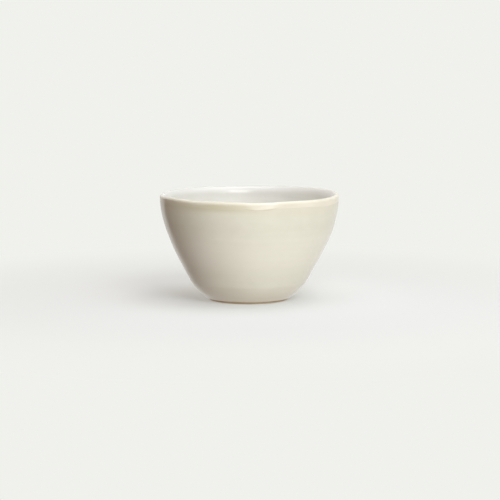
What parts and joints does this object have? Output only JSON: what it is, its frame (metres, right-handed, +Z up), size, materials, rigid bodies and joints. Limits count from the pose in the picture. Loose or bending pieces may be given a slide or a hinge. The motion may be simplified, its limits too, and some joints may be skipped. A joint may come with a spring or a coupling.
{
  "type": "latte bowl",
  "caption": "Hand-thrown stoneware latte bowl with no handle: flaring wall, rounded lip, low foot ring, cream glaze outside, white liner inside and a warm rim band.",
  "frame": {"origin": "centre of the foot ring on the plane that the bowl stands on", "axes": "+Z up along the axis of the bowl; the bowl is round, so +X and +Y are any two level directions, with the pictured side facing -Y"},
  "size_m": [0.126, 0.126, 0.0745],
  "materials": {
    "bare_clay": "unglazed fired stoneware, fine grit, matt",
    "cream_glaze": "satin gloss cream glaze with soft horizontal variation",
    "rim_band": "gloss, warmer and thinner where the glaze breaks over the lip",
    "white_liner": "gloss cool white liner glaze"
  },
  "bodies": {
    "root": {"clay_body": "bare_clay", "outer_glaze": "cream_glaze", "rim_glaze": "rim_band", "inner_glaze": "white_liner", "base_glaze": "cream_glaze"}
  },
  "joints": []
}
